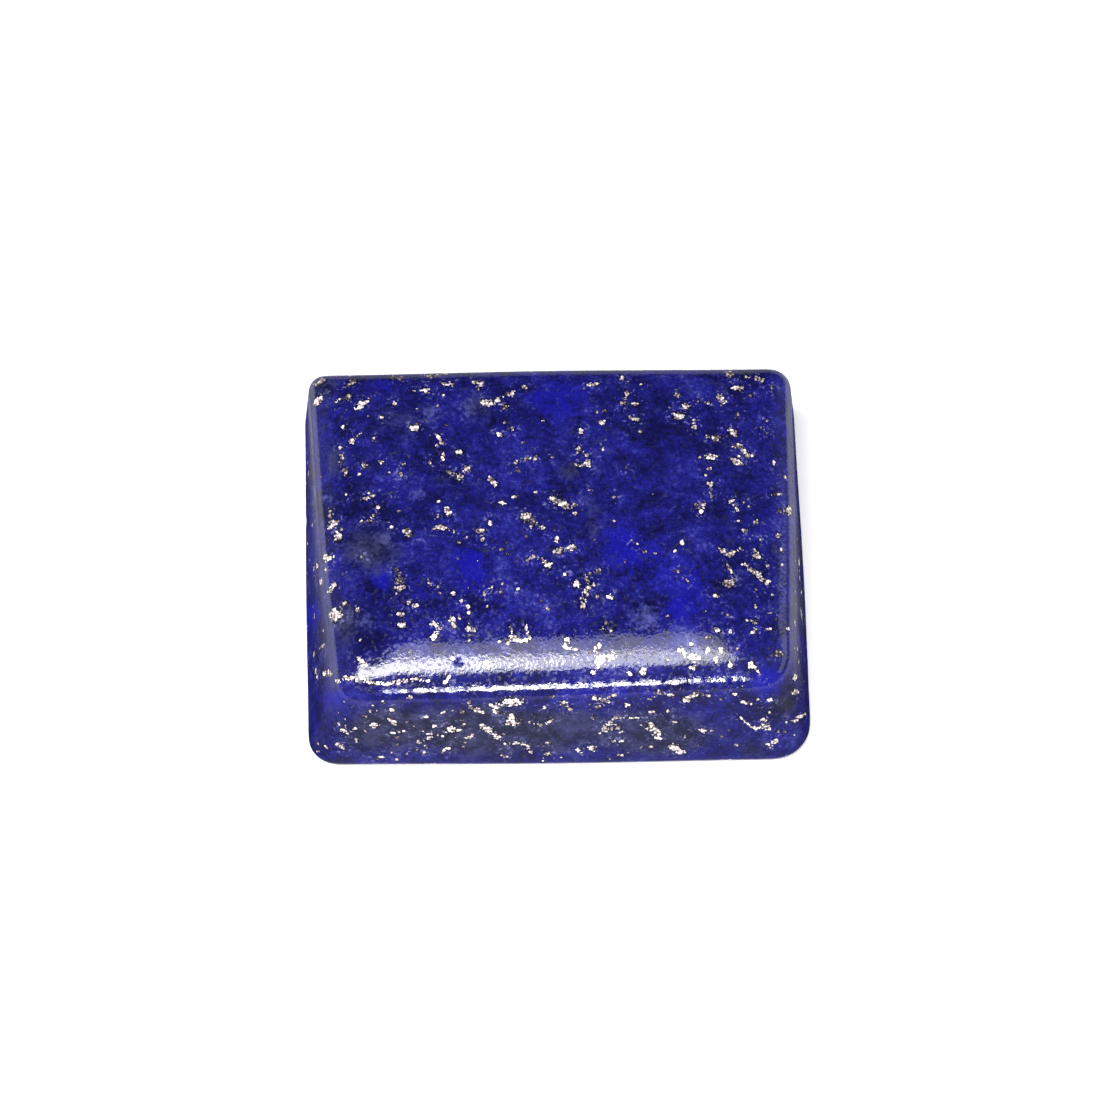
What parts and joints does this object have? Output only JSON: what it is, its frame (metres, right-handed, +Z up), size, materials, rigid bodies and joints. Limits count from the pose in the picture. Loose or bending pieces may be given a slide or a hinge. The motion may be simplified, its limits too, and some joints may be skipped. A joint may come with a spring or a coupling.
{
  "type": "polished lapis lazuli cabochon",
  "caption": "Rectangular lapis lazuli gemstone, cut as a low-domed cabochon with a flat back, sloping walls and rounded corners, blue with pale clouds and pyrite flecks.",
  "frame": {"origin": "middle of the flat back, on the surface that the stone rests on", "axes": "+Z up through the crown, +X along the long sides, and -Y towards the front edge, the one nearest in the picture"},
  "size_m": [0.018, 0.0142, 0.0047],
  "materials": {
    "lapis": "hand polished, finely pitted, with metallic pyrite flecks and pale calcite clouds"
  },
  "bodies": {
    "root": {"lapis_cabochon": "lapis"}
  },
  "joints": []
}
